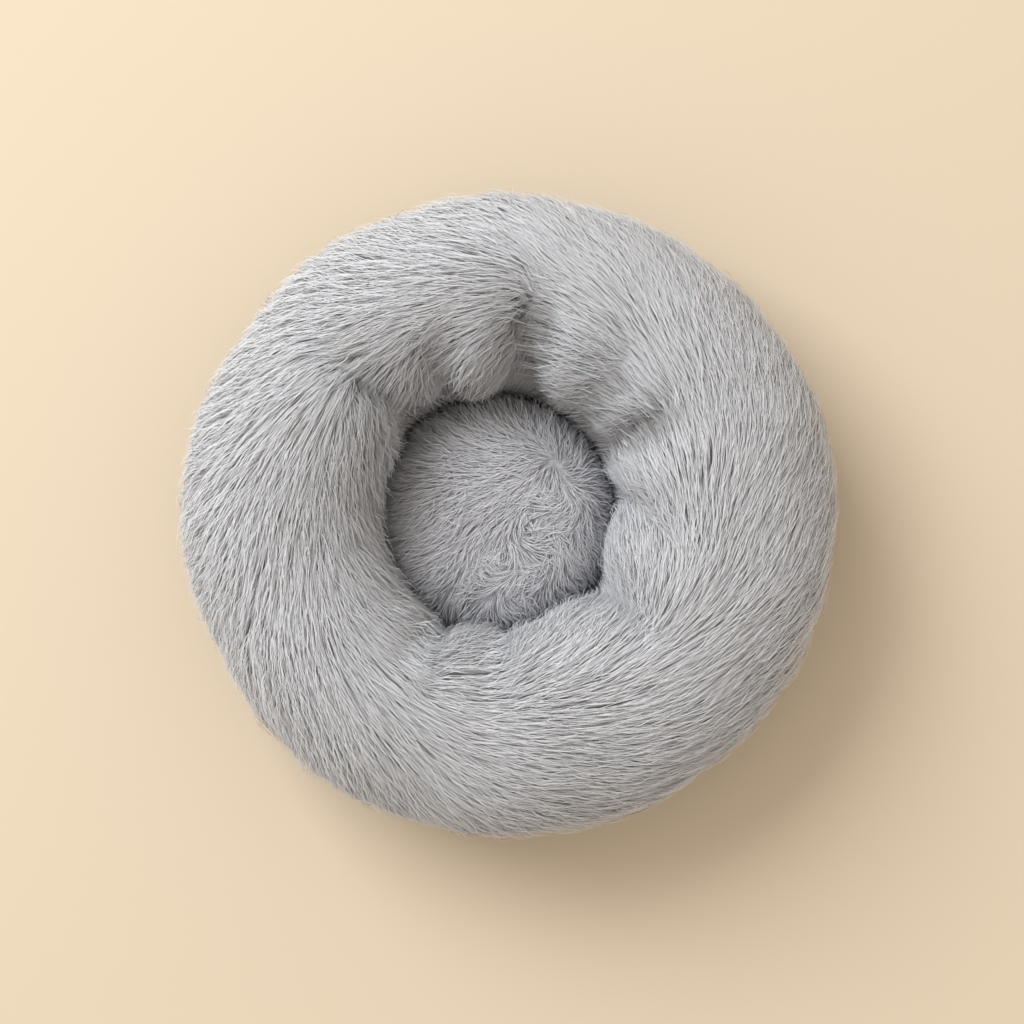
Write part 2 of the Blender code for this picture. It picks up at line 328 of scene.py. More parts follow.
def turn_outwards(mesh, fill_within=0.0, weld=0.0):
    """Welds doubles, fills the holes this near the middle and turns the faces outwards."""
    shape = bmesh.new()
    shape.from_mesh(mesh)
    if weld:
        bmesh.ops.remove_doubles(shape, verts=shape.verts, dist=weld)
    rim = [edge for edge in shape.edges if edge.is_boundary and edge.verts[0].co.xy.length < fill_within]
    if rim:
        bmesh.ops.holes_fill(shape, edges=rim)
    bmesh.ops.recalc_face_normals(shape, faces=shape.faces)
    shape.to_mesh(mesh)
    shape.free()


def unit(vectors):
    return vectors / np.maximum(np.linalg.norm(vectors, axis=-1, keepdims=True), 1e-9)


def ripple(points, size, seed):
    """Smooth noise between about -1 and 1: a sum of plane waves in fixed random directions."""
    chance = np.random.default_rng(seed)
    total = np.zeros(len(points))
    for _ in range(9):
        wave = unit(chance.normal(size=3)) * 2 * math.pi / (size * chance.uniform(0.7, 1.5))
        total += np.sin(points @ wave + chance.uniform(0, 2 * math.pi))
    return total / 3


# Soft bodies


def tuck_shares(points):
    """How deep in the tucks each point lies, in metres."""
    from_nest = points[:, :2] - np.array([NEST_X, 0])
    distance = np.hypot(from_nest[:, 0], from_nest[:, 1])
    direction = np.degrees(np.arctan2(from_nest[:, 1], from_nest[:, 0]))
    depth = np.zeros(len(points))
    for start, end, reach, deep, half in TUCKS:
        along = fade(distance, HOLE_RADIUS, reach * MM)
        line = start + (end - start) * along
        apart = np.radians((direction - line + 180) % 360 - 180) * distance
        ending = 1 - fade(distance, HOLE_RADIUS + 0.3 * (reach * MM - HOLE_RADIUS), (reach + 14) * MM)
        low = fade(points[:, 2], 35 * MM, 85 * MM)
        depth += deep * MM * ending * low * np.exp(-((apart / (half * MM)) ** 2))
    return depth


def beside(points, middle, half_span):
    """1 within half_span degrees of a direction round the bed, and 0 a few degrees further."""
    direction = np.degrees(np.arctan2(points[:, 1], points[:, 0]))
    return fade(np.abs((direction - middle + 180) % 360 - 180), half_span + 3, half_span)


def swell(obj, pressure, most, held):
    """Blows a padded mesh up a little with Cloth. held holds the pin weights, and most caps the movement."""
    scene = bpy.context.scene
    before = positions(obj.data)
    group = obj.vertex_groups.new(name="held")
    for weight in np.unique(np.round(held, 1)):
        if weight > 0:
            index = np.nonzero(np.round(held, 1) == weight)[0].tolist()
            group.add(index, float(weight), "REPLACE")
    cloth = obj.modifiers.new("swell", "CLOTH")
    cloth.settings.quality = 5
    cloth.settings.mass = 0.3
    cloth.settings.tension_stiffness = 18
    cloth.settings.compression_stiffness = 18
    cloth.settings.shear_stiffness = 8
    cloth.settings.bending_stiffness = 1.5
    cloth.settings.use_pressure = True
    cloth.settings.uniform_pressure_force = pressure
    cloth.settings.vertex_group_mass = "held"
    cloth.settings.effector_weights.gravity = 0
    cloth.collision_settings.use_collision = False
    for number in range(1, 21):
        scene.frame_set(number)
    evaluated = obj.evaluated_get(bpy.context.evaluated_depsgraph_get())
    moved = positions(evaluated.to_mesh()) - before
    evaluated.to_mesh_clear()
    obj.modifiers.clear()
    scene.frame_set(1)
    far = np.linalg.norm(moved, axis=1, keepdims=True)
    place(obj.data, before + moved * np.minimum(1, most / np.maximum(far, 1e-9)))
    obj.vertex_groups.clear()


def remesh(obj, size):
    voxels = obj.modifiers.new("remesh", "REMESH")
    voxels.mode = "VOXEL"
    voxels.voxel_size = size
    return apply_modifiers(obj)


def smooth_once(obj):
    finer = obj.modifiers.new("smooth", "SUBSURF")
    finer.levels = finer.render_levels = 1
    apply_modifiers(obj)
    obj.data.shade_smooth()


def store(mesh, name, values):
    """Keeps values, one number or vector a vertex, as a named attribute for the pile to read."""
    kind = "FLOAT_VECTOR" if values.ndim == 2 else "FLOAT"
    attribute = mesh.attributes.new(name, kind, "POINT")
    flat = np.ascontiguousarray(values, np.float32).ravel()
    attribute.data.foreach_set("vector" if values.ndim == 2 else "value", flat)


# Node trees


class Tree:
    """A node tree being built, with short calls for the nodes that it uses most."""

    def __init__(self, tree):
        self.tree = tree

    def add(self, kind, values=(), **settings):
        """One node. values maps a socket's name or number to a value or to another node's socket."""
        node = self.tree.nodes.new(kind)
        for setting, value in settings.items():
            setattr(node, setting, value)
        for key, value in dict(values).items():
            socket = node.inputs[key]
            if isinstance(value, bpy.types.NodeSocket):
                self.tree.links.new(value, socket)
            else:
                socket.default_value = value
        return node

    def math(self, operation, *values):
        kind = "ShaderNodeMath"
        return self.add(kind, dict(enumerate(values)), operation=operation).outputs[0]

    def vector(self, operation, *values):
        node = self.add("ShaderNodeVectorMath", operation=operation)
        slots = [0, 3] if operation == "SCALE" else range(len(values))
        for slot, value in zip(slots, values):
            if isinstance(value, bpy.types.NodeSocket):
                self.tree.links.new(value, node.inputs[slot])
            else:
                node.inputs[slot].default_value = value
        return node.outputs["Value" if operation in ("LENGTH", "DOT_PRODUCT", "DISTANCE") else "Vector"]

    def combine(self, x=0.0, y=0.0, z=0.0):
        return self.add("ShaderNodeCombineXYZ", {0: x, 1: y, 2: z}).outputs[0]

    def split(self, vector):
        return self.add("ShaderNodeSeparateXYZ", {0: vector}).outputs

    def layout(self):
        """Spreads the nodes out in rows so that the tree can be read."""
        for number, node in enumerate(self.tree.nodes):
            node.location = (220 * (number % 12), -260 * (number // 12))


class GeometryTree(Tree):
    def __init__(self, name, inputs):
        super().__init__(bpy.data.node_groups.new(name, "GeometryNodeTree"))
        self.tree.interface.new_socket("Geometry", in_out="INPUT", socket_type="NodeSocketGeometry")
        for label, (kind, default) in inputs.items():
            socket = self.tree.interface.new_socket(label, in_out="INPUT", socket_type=kind)
            if default is not None:
                socket.default_value = default
        self.tree.interface.new_socket("Geometry", in_out="OUTPUT", socket_type="NodeSocketGeometry")
        self.given = self.add("NodeGroupInput").outputs

    def named(self, name, kind="FLOAT"):
        node = self.add("GeometryNodeInputNamedAttribute", {"Name": name}, data_type=kind)
        return node.outputs["Attribute"]

    def chance(self, low, high, seed):
        """A random number between low and high for each element."""
        values = {2: low, 3: high, "Seed": seed}
        return self.add("FunctionNodeRandomValue", values, data_type="FLOAT").outputs[1]

    def store(self, geometry, name, value, kind="FLOAT", domain="POINT"):
        node = self.add(
            "GeometryNodeStoreNamedAttribute",
            {"Geometry": geometry, "Name": name, "Value": value},
            data_type=kind,
            domain=domain,
        )
        return node.outputs[0]

    def sample(self, points, value, index, kind="FLOAT_VECTOR"):
        node = self.add(
            "GeometryNodeSampleIndex",
            {"Geometry": points, "Value": value, "Index": index},
            data_type=kind,
        )
        return node.outputs[0]

    def finish(self, geometry, material):
        painted = self.add("GeometryNodeSetMaterial", {"Geometry": geometry, "Material": material})
        self.add("NodeGroupOutput", {0: painted.outputs[0]})
        self.layout()
        return self.tree


def run_tree(name, source, tree, values):
    """The plain mesh that a geometry tree makes from source, as an object of its own."""
    made = add_object(name, source.data.copy())
    modifier = made.modifiers.new(tree.name, "NODES")
    modifier.node_group = tree
    for item in tree.interface.items_tree:
        if item.in_out == "INPUT" and item.name in values:
            modifier[item.identifier] = values[item.name]
    apply_modifiers(made)
    made.data.shade_smooth()
    return made


def pile_tree():
    """Wisps of hair gathered into locks, on a surface with flow, length, lift, clump, cover and a factor of
    painted shadow on their tone.
    """
    tree = GeometryTree(
        "pile",
        {
            "Density": ("NodeSocketFloat", 1000.0),
            "Thickness": ("NodeSocketFloat", 1.0 * MM),
            "Lock Spacing": ("NodeSocketFloat", 5.0 * MM),
            "Gathering": ("NodeSocketFloat", 0.8),
            "Disorder": ("NodeSocketFloat", 0.2),
            "Evenness": ("NodeSocketFloat", 0.62),
            "Sectors": ("NodeSocketInt", 1),
            "Sector": ("NodeSocketInt", 0),
            "Seed": ("NodeSocketInt", 1),
            "Material": ("NodeSocketMaterial", None),
        },
    )
    given = tree.given
    surface = given["Geometry"]
    flow = tree.named("flow", "FLOAT_VECTOR")

    def seed(number):
        return tree.math("ADD", given["Seed"], float(number))

    def turned(vector, axis, angle):
        values = {"Vector": vector, "Axis": axis, "Angle": angle}
        return tree.add("ShaderNodeVectorRotate", values, rotation_type="AXIS_ANGLE").outputs[0]

    # Locks: a guide for each, evenly spaced, with its own direction, length and tone
    guides = tree.add(
        "GeometryNodeDistributePointsOnFaces",
        {"Mesh": surface, "Distance Min": given["Lock Spacing"], "Density Max": 90000.0, "Seed": seed(11)},
        distribute_method="POISSON",
    )
    sway = tree.math("MULTIPLY", tree.chance(-1.0, 1.0, seed(13)), given["Disorder"])
    swayed = turned(flow, guides.outputs["Normal"], sway)
    locks = tree.store(guides.outputs["Points"], "way", swayed, "FLOAT_VECTOR")
    locks = tree.store(locks, "growth", tree.chance(0.86, 1.10, seed(12)))
    locks = tree.store(locks, "tone", tree.chance(0.0, 1.0, seed(15)))

    # Wisps: only those of this sector
    wisps = tree.add(
        "GeometryNodeDistributePointsOnFaces",
        {
            "Mesh": surface,
            "Density": tree.math("MULTIPLY", given["Density"], tree.named("cover")),
            "Seed": seed(21),
        },
    )
    points = tree.store(wisps.outputs["Points"], "up", wisps.outputs["Normal"], "FLOAT_VECTOR")
    root = tree.add("GeometryNodeInputPosition").outputs[0]
    points = tree.store(points, "root", root, "FLOAT_VECTOR")
    x, y, _ = tree.split(root)
    turn = tree.math("DIVIDE", tree.math("ADD", tree.math("ARCTAN2", y, x), math.pi), 2 * math.pi)
    mine = tree.math("FLOOR", tree.math("MULTIPLY", turn, given["Sectors"]))
    other = tree.add(
        "FunctionNodeCompare",
        {"A": mine, "B": given["Sector"], "Epsilon": 0.5},
        operation="NOT_EQUAL",
        data_type="FLOAT",
    ).outputs[0]
    values = {"Geometry": points, "Selection": other}
    points = tree.add("GeometryNodeDeleteGeometry", values, domain="POINT").outputs[0]

    # Each wisp joins the lock whose line passes nearest: it looks for one behind it and ahead of it
    best = best_score = None
    for step in (0.0, -1.0, 1.0, -2.0, 2.0):
        shift = tree.vector("SCALE", flow, tree.math("MULTIPLY", given["Lock Spacing"], step))
        look = tree.vector("ADD", root, shift)
        values = {"Geometry": locks, "Sample Position": look}
        index = tree.add("GeometryNodeSampleNearest", values).outputs[0]
        apart = tree.vector("SUBTRACT", tree.sample(locks, root, index), root)
        ahead = tree.vector("DOT_PRODUCT", apart, flow)
        sideways = tree.vector("LENGTH", tree.vector("SUBTRACT", apart, tree.vector("SCALE", flow, ahead)))
        score = tree.math("ADD", sideways, tree.math("MULTIPLY", tree.math("ABSOLUTE", ahead), 0.07))
        if best is None:
            best, best_score = index, score
            continue
        nearer = tree.add(
            "FunctionNodeCompare", {"A": score, "B": best_score}, operation="LESS_THAN", data_type="FLOAT"
        ).outputs[0]
        switch = {"Switch": nearer, "False": best, "True": index}
        best = tree.add("GeometryNodeSwitch", switch, input_type="INT").outputs[0]
        best_score = tree.math("MINIMUM", score, best_score)
    points = tree.store(points, "lock", best, "INT")
    lock = tree.named("lock", "INT")
    way = tree.sample(locks, tree.named("way", "FLOAT_VECTOR"), lock)
    up = tree.named("up", "FLOAT_VECTOR")
    way = tree.vector("ADD", tree.vector("SCALE", way, 0.75), tree.vector("SCALE", flow, 0.25))
    way = tree.vector("NORMALIZE", way)
    loose = tree.math("POWER", tree.chance(0.0, 1.0, seed(29)), 6.0)
    stray = tree.math("MULTIPLY", tree.chance(-0.5, 0.5, seed(23)), given["Disorder"])
    stray = tree.math("MULTIPLY", stray, tree.math("ADD", 1.0, tree.math("MULTIPLY", loose, 5.0)))
    points = tree.store(points, "way", turned(way, up, stray), "FLOAT_VECTOR")
    way = tree.named("way", "FLOAT_VECTOR")
    apart = tree.vector("SUBTRACT", tree.sample(locks, root, lock), root)
    apart = tree.vector("SUBTRACT", apart, tree.vector("SCALE", way, tree.vector("DOT_PRODUCT", apart, way)))
    apart = tree.vector("SUBTRACT", apart, tree.vector("SCALE", up, tree.vector("DOT_PRODUCT", apart, up)))
    points = tree.store(points, "apart", apart, "FLOAT_VECTOR")
    apart = tree.named("apart", "FLOAT_VECTOR")

    # Its middle and its tip, counted from its root. Wisps on the flanks of a lock lie lower
    growth = tree.sample(locks, tree.named("growth"), lock, "FLOAT")
    growth = tree.math("MULTIPLY", growth, tree.chance(0.70, 1.05, seed(22)))
    length = tree.math("MULTIPLY", tree.named("length"), growth)
    flank = tree.math("DIVIDE", tree.vector("LENGTH", apart), given["Lock Spacing"])
    rise = tree.math("MULTIPLY", tree.named("lift"), tree.chance(0.80, 1.14, seed(24)))
    lowered = tree.math("MULTIPLY", flank, tree.named("clump"))
    rise = tree.math("MULTIPLY", rise, tree.math("SUBTRACT", 1.0, lowered))
    rise = tree.math("MULTIPLY", rise, tree.math("ADD", 0.95, tree.math("MULTIPLY", loose, 1.1)))
    closing = tree.math("MULTIPLY", given["Gathering"], tree.chance(0.45, 1.05, seed(25)))
    closing = tree.math("MULTIPLY", closing, tree.named("clump"))

    def bend(name, ahead, above, sideways):
        """A spot over the surface, this share of the length ahead, so that a long wisp follows its curve."""
        spot = tree.vector("ADD", root, tree.vector("SCALE", way, tree.math("MULTIPLY", length, ahead)))
        gathered = tree.vector("SCALE", apart, tree.math("MULTIPLY", closing, sideways))
        spot = tree.vector("ADD", spot, gathered)
        nearest = tree.add("GeometryNodeProximity", {"Geometry": surface, "Sample Position": spot})
        facing = tree.add(
            "GeometryNodeSampleNearestSurface",
            {
                "Mesh": surface,
                "Value": tree.add("GeometryNodeInputNormal").outputs[0],
                "Sample Position": spot,
            },
            data_type="FLOAT_VECTOR",
        ).outputs["Value"]
        over = tree.vector("SCALE", facing, tree.math("MULTIPLY", rise, above))
        offset = tree.vector("SUBTRACT", tree.vector("ADD", nearest.outputs["Position"], over), root)
        made = tree.store(points, name, offset, "FLOAT_VECTOR")
        return tree.store(made, name + " out", facing, "FLOAT_VECTOR")

    points = bend("middle", 0.44, 0.86, 0.80)
    points = bend("tip", 0.97, 0.86, 1.0)
    # Each wisp's tone, multiplied by the surface's painted-light factor: painted shadow where it is below 1
    tone = tree.sample(locks, tree.named("tone"), lock, "FLOAT")
    tone = tree.math("ADD", tree.math("MULTIPLY", tone, 0.55), tree.chance(0.0, 0.45, seed(26)))
    points = tree.store(points, "tone", tree.math("MULTIPLY", tone, tree.named("painted_light")))
    points = tree.store(points, "roll", tree.chance(-0.22, 0.22, seed(27)))
    girth = tree.math("MULTIPLY", given["Thickness"], tree.chance(0.36, 0.62, seed(28)))
    points = tree.store(points, "girth", girth)

    # One closed spike of ten faces, bent along the parabola through root, middle and tip
    spike = tree.add(
        "GeometryNodeMeshCone",
        {"Vertices": 3, "Side Segments": 2, "Radius Top": 0.0, "Radius Bottom": 1.0, "Depth": 1.0},
    ).outputs["Mesh"]
    local = tree.split(tree.add("GeometryNodeInputPosition").outputs[0])
    spike = tree.store(spike, "along", local["Z"])
    slim = tree.math("MAXIMUM", tree.math("SUBTRACT", 1.0, local["Z"]), 0.001)
    corner = tree.vector("SCALE", tree.combine(local["X"], local["Y"]), tree.math("DIVIDE", 1.0, slim))
    spike = tree.store(spike, "corner", corner, "FLOAT_VECTOR")
    hair = tree.add("GeometryNodeInstanceOnPoints", {"Points": points, "Instance": spike}).outputs[0]
    hair = tree.add("GeometryNodeRealizeInstances", {"Geometry": hair}).outputs[0]
    along = tree.named("along")
    middle, tip = tree.named("middle", "FLOAT_VECTOR"), tree.named("tip", "FLOAT_VECTOR")
    first = tree.vector("SUBTRACT", tree.vector("SCALE", middle, 4.0), tip)
    second = tree.vector("SUBTRACT", tree.vector("SCALE", tip, 2.0), tree.vector("SCALE", middle, 4.0))
    line = tree.vector("SCALE", second, tree.math("MULTIPLY", along, along))
    line = tree.vector("ADD", line, tree.vector("SCALE", first, along))
    side = tree.vector("NORMALIZE", tree.vector("CROSS_PRODUCT", up, tip))
    over = tree.vector("NORMALIZE", tree.vector("CROSS_PRODUCT", tip, side))
    cx, cy, _ = tree.split(tree.named("corner", "FLOAT_VECTOR"))
    flat = tree.math("MULTIPLY", cy, 0.3)
    around = tree.vector("ADD", tree.vector("SCALE", side, cx), tree.vector("SCALE", over, flat))
    around = turned(around, tip, tree.named("roll"))
    wide = tree.math("ADD", 0.75, tree.math("MULTIPLY", along, 2.5))
    taper = tree.math("MULTIPLY", tree.math("SUBTRACT", 1.0, along), wide)
    offset = tree.vector("SCALE", around, tree.math("MULTIPLY", tree.named("girth"), taper))
    spot = tree.vector("ADD", tree.named("root", "FLOAT_VECTOR"), tree.vector("ADD", line, offset))
    hair = tree.add("GeometryNodeSetPosition", {"Geometry": hair, "Position": spot}).outputs[0]
    hair = tree.add("GeometryNodeSetShadeSmooth", {"Geometry": hair}).outputs[0]

    # It shades partly as the surface that the pile makes together
    over_root = tree.vector("SCALE", up, tree.math("SUBTRACT", 1.0, along))
    over_tip = tree.vector("SCALE", tree.named("tip out", "FLOAT_VECTOR"), along)
    outward = tree.vector("ADD", over_root, over_tip)
    outward = tree.vector("SCALE", tree.vector("NORMALIZE", outward), given["Evenness"])
    own = tree.math("SUBTRACT", 1.0, given["Evenness"])
    facing = tree.vector("ADD", outward, tree.vector("SCALE", tree.vector("NORMALIZE", around), own))
    hair = tree.add(
        "GeometryNodeSetMeshNormal", {"Mesh": hair, "Custom Normal": facing}, mode="FREE", domain="POINT"
    ).outputs[0]

    # Across the map: the wisp's tone, with its painted shadow. Up the map: root to tip
    column = tree.math("ADD", tree.math("MULTIPLY", tree.named("tone"), 0.96), 0.02)
    column = tree.math("ADD", column, tree.math("MULTIPLY", cx, 0.008))
    row = tree.math("ADD", tree.math("MULTIPLY", along, 0.96), 0.02)
    hair = tree.store(hair, "OFBake", tree.combine(column, row), "FLOAT2", "CORNER")
    shape = ("along", "corner", "middle", "middle out", "tip", "tip out", "roll", "girth")
    growth = ("way", "apart", "lock", "up", "root", "tone")
    for name in (*shape, *growth, "flow", "length", "lift", "clump", "painted_light", "cover"):
        hair = tree.add("GeometryNodeRemoveAttribute", {"Geometry": hair, "Name": name}).outputs[0]
    return tree.finish(hair, given["Material"])


# Materials


def new_material(name, roughness=0.8, metallic=0.0):
    made = bpy.data.materials.new(name)
    made.use_nodes = True
    surface = made.node_tree.nodes["Principled BSDF"]
    surface.inputs["Roughness"].default_value = roughness
    surface.inputs["Metallic"].default_value = metallic
    return made, Tree(made.node_tree), surface


def hair_material(name, dark, light):
    """Fine hair: darker at the root, streaked along its length, each wisp between dark and light."""
    made, tree, surface = new_material(name, 0.75)
    surface.inputs["Specular IOR Level"].default_value = 0.1
    surface.inputs["Sheen Weight"].default_value = 0.15
    surface.inputs["Sheen Roughness"].default_value = 0.5
    u, v, _ = tree.split(tree.add("ShaderNodeUVMap", uv_map="OFBake").outputs[0])
    stretched = tree.combine(tree.math("MULTIPLY", u, 420.0), tree.math("MULTIPLY", v, 2.2))
    streaks = tree.add(
        "ShaderNodeTexNoise",
        {"Vector": stretched, "Scale": 1.0, "Detail": 2.0},
        noise_dimensions="2D",
    ).outputs[0]
    tone = tree.math("ADD", tree.math("MULTIPLY", u, 0.6), tree.math("MULTIPLY", streaks, 0.8))
    tone = tree.math("SUBTRACT", tone, 0.2)
    colour = tree.add(
        "ShaderNodeMix", {"Factor": tone, 6: (*dark, 1), 7: (*light, 1)}, data_type="RGBA"
    ).outputs[2]
    depth = tree.add("ShaderNodeValToRGB", {"Fac": v})
    ramp = depth.color_ramp
    ramp.elements[0].color = (0.64, 0.64, 0.65, 1)
    ramp.elements[1].color = (1, 1, 1, 1)
    ramp.elements[1].position = 0.5
    values = {"Factor": 1.0, 6: colour, 7: depth.outputs[0]}
    painted_shadow = tree.add("ShaderNodeMix", values, data_type="RGBA", blend_type="MULTIPLY").outputs[2]
    tree.tree.links.new(painted_shadow, surface.inputs["Base Color"])
    tree.layout()
    return made


def backing_material(name, colour):
    """The knitted backing under the pile, with the stubble of the undercoat."""
    made, tree, surface = new_material(name, 0.95)
    place_of = tree.add("ShaderNodeTexCoord").outputs["Object"]
    stubble = tree.add("ShaderNodeTexNoise", {"Vector": place_of, "Scale": 900.0, "Detail": 3.0}).outputs[0]
    ramp = tree.add("ShaderNodeValToRGB", {"Fac": stubble})
    ramp.color_ramp.elements[0].color = (*(c * 0.6 for c in colour), 1)
    ramp.color_ramp.elements[1].color = (*colour, 1)
    tree.tree.links.new(ramp.outputs[0], surface.inputs["Base Color"])
    bump = tree.add("ShaderNodeBump", {"Height": stubble, "Strength": 0.6, "Distance": 0.6 * MM})
    tree.tree.links.new(bump.outputs[0], surface.inputs["Normal"])
    tree.layout()
    return made


# Pieces


class PETBED_OT_ring_body(bpy.types.Operator):
    """The stuffed ring under its pile, gathered into tucks round the nest"""

    bl_idname = "petbed.ring_body"
    bl_label = "Ring Body"

    def execute(self, context):
        angles = np.arange(0, 360, 6.0)
        from_outside = 180 - np.abs(angles - 180)
        share = 0.20 + 0.13 * fade(from_outside, 5, 70) - 0.03 * fade(from_outside, 110, 160)
        inset = RING_PILE_DEPTH * share
        rows = section(angles, inset, BASE_TOP + 1 * MM)
        body = add_object("ring_body", round_mesh("ring_body", rows, 144, True))
        points = off_centre(positions(body.data))
        points[:, 1] *= 1 - 0.02 * fade(points[:, 2], 30 * MM, 90 * MM)
        place(body.data, points)
        remesh(body, RING_VOXEL)
        points = positions(body.data)
        out = normals(body.data)
        swirl = ripple(points, 120 * MM, 5) * 2.2 * MM * fade(points[:, 2], 20 * MM, 70 * MM)
        distance = np.hypot(points[:, 0], points[:, 1])
        outer = fade(distance, 175 * MM, 200 * MM) * fade(points[:, 2], 64 * MM, 34 * MM)
        foot = outer * (FOOT_BULGE + ZIP_BULGE * beside(points, 0, ZIP_HALF_SPAN + 1))
        depth = tuck_shares(points)
        moved = points + out * (swirl - depth)[:, None]
        place(body.data, moved + out * np.array([1, 1, 0]) * foot[:, None])
        held = np.clip(depth / (5 * MM), 0, 1)
        held = np.maximum(held, 1 - fade(points[:, 2], 36 * MM, 60 * MM))
        swell(body, 3.0, 6 * MM, held)
        body.data.shade_smooth()
        body.data.materials.clear()
        body.data.materials.append(backing_material("ring backing", (0.60, 0.61, 0.63)))
        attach(body, "ring")
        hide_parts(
            "ring_cover_left",
            "ring_cover_right",
            "ring_liner_top",
            "ring_liner_bottom",
            "ring_filling",
        )
        return {"FINISHED"}


def ring_flow(points, out):
    """The way that the ring's pile lies: round the nest at the crest, and down its sides."""
    middle = np.array([NEST_X * 0.45, 0.0])
    from_middle = points[:, :2] - middle
    distance = np.hypot(from_middle[:, 0], from_middle[:, 1])
    direction = np.degrees(np.arctan2(from_middle[:, 1], from_middle[:, 0]))
    angle = np.degrees(np.arctan2(points[:, 2] - WAIST_HEIGHT, distance - SECTION_RADIUS))
    angle = np.where(angle < -100, angle + 360, angle)
    stations = [-100, -40, 0, 40, 75, 105, 135, 165, 200, 260]
    way = np.interp(angle, stations, [72, 64, 50, 32, 15, 0, -26, -48, -66, -75])
    outside = fade(angle, 100, 20)
    way = way + outside * (24 * np.cos(np.radians(direction - 155)) + 6)
    parted = fade(angle, 92, 122) * np.exp(-(((direction - 128) / 30) ** 2))
    way = np.radians(way - 40 * parted + 8 * ripple(points, 110 * MM, 8) + 3 * ripple(points, 40 * MM, 9))
    along = unit(np.stack([-from_middle[:, 1], from_middle[:, 0], np.zeros(len(points))], axis=1))
    along = unit(along - out * np.sum(along * out, axis=1, keepdims=True))
    outwards = np.cross(along, out)
    return np.cos(way)[:, None] * along + np.sin(way)[:, None] * outwards, angle


class PETBED_OT_ring_pile(bpy.types.Operator):
    """The ring's long pile, in sectors"""

    bl_idname = "petbed.ring_pile"
    bl_label = "Ring Pile"

    def execute(self, context):
        pile, colours = context.scene.pet_bed_pile, context.scene.pet_bed_colours
        surface = add_object("ring_surface", bpy.data.objects["ring_body"].data.copy())
        mesh = surface.data
        points, out = positions(mesh), normals(mesh)
        flow, angle = ring_flow(points, out)
        store(mesh, "flow", flow)
        wall = 1 - 0.2 * fade(angle, 120, 165)
        outside = angle < 60
        by_zip = beside(points, 0, ZIP_HALF_SPAN + 1) * outside
        by_label = beside(points, LABEL_ANGLE, 4) * outside
        height = points[:, 2]
        trim = 1 - 0.7 * by_zip * fade(height, 60 * MM, 36 * MM)
        trim = trim - 0.5 * by_label * fade(height, 46 * MM, 24 * MM)
        low = 0.34 + 0.66 * fade(height, 16 * MM, 62 * MM)
        grown = pile.length * wall * np.where(angle > 120, 1, low) * (1 + 0.08 * ripple(points, 60 * MM, 4))
        store(mesh, "length", grown * trim)
        side = 1 - 0.5 * fade(angle, 60, 5) + 0.3 * fade(height, 50 * MM, 24 * MM) * outside
        lift = RING_PILE_DEPTH * wall * side * (0.23 + 0.03 * ripple(points, 26 * MM, 6))
        store(mesh, "lift", lift * (0.4 + 0.6 * trim))
        cover = np.where(angle > 120, fade(height, 26 * MM, 40 * MM), fade(height, 20 * MM, 22 * MM))
        cover = cover * (1 - (by_zip > 0) * fade(height, 35 * MM, 33 * MM))
        store(mesh, "cover", cover * (1 - (by_label > 0) * fade(height, 24 * MM, 22 * MM)))
        lit = fade(points[:, 1] - points[:, 0], -0.1, 0.3)
        clump = 0.4 + 0.7 * fade(angle + 14 * ripple(points, 90 * MM, 14), 20 + 40 * lit, 90 + 25 * lit)
        store(mesh, "clump", clump)
        # No shadow is painted on the ring: its painted-light factor is 1 everywhere
        store(mesh, "painted_light", np.ones(len(points)))
        tree = pile_tree()
        material = hair_material("ring pile", colours.ring_dark, colours.ring_light)
        for sector in range(RING_SECTORS):
            values = {
                "Density": pile.ring_density,
                "Thickness": pile.thickness,
                "Lock Spacing": pile.lock_spacing,
                "Gathering": pile.gathering,
                "Disorder": 0.13,
                "Sectors": RING_SECTORS,
                "Sector": sector,
                "Seed": pile.seed,
                "Material": material,
            }
            piece = run_tree(f"ring_pile_{sector + 1}", surface, tree, values)
            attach(piece, "ring")
        bpy.data.objects.remove(surface)
        return {"FINISHED"}


class PETBED_OT_cushion_body(bpy.types.Operator):
    """The loose cushion under its pile, with its plain underside"""

    bl_idname = "petbed.cushion_body"
    bl_label = "Cushion Body"

    def execute(self, context):
        pile = context.scene.pet_bed_pile
        inset = 0.32 * pile.cushion_length
        turns = np.radians(np.linspace(90, -90, 31))
        power = 2 / CUSHION_FULLNESS
        top = CUSHION_TOP - inset - CUSHION_SEAM
        reach = np.where(np.sin(turns) >= 0, top, CUSHION_SEAM - CUSHION_FOOT)
        reach_out = CUSHION_RADIUS + CUSHION_SPARE - inset * fade(np.sin(turns), 0.3, 0.9)
        radii = reach_out * np.abs(np.cos(turns)) ** power
        heights = CUSHION_SEAM + reach * np.sign(np.sin(turns)) * np.abs(np.sin(turns)) ** power
        radii[[0, -1]] = 0.5 * MM
        mesh = round_mesh("cushion_body", (radii, heights), 72, False)
        body = add_object("cushion_body", mesh)
        turn_outwards(mesh, 30 * MM)
        remesh(body, CUSHION_VOXEL)
        points = positions(body.data)
        points[:, 0] += NEST_X
        upper = fade(points[:, 2], 22 * MM, 42 * MM)
        dents = ripple(points, 70 * MM, 12) * 2.2 * MM * upper
        place(body.data, points + np.array([0, 0, 1]) * dents[:, None])
        held = 1 - fade(points[:, 2], 8 * MM, 20 * MM)
        swell(body, 2.5, 4 * MM, held)
        smooth_once(body)
        mesh = body.data
        mesh.materials.clear()
        mesh.materials.append(backing_material("cushion backing", (0.60, 0.61, 0.65)))
        mesh.materials.append(bpy.data.materials["base cloth"])
        for face in mesh.polygons:
            face.material_index = int(face.center.z < CUSHION_SEAM - 4 * MM)
        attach(body, "cushion")
        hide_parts("cushion_top_cover", "cushion_bottom_cover", "cushion_filling")
        return {"FINISHED"}


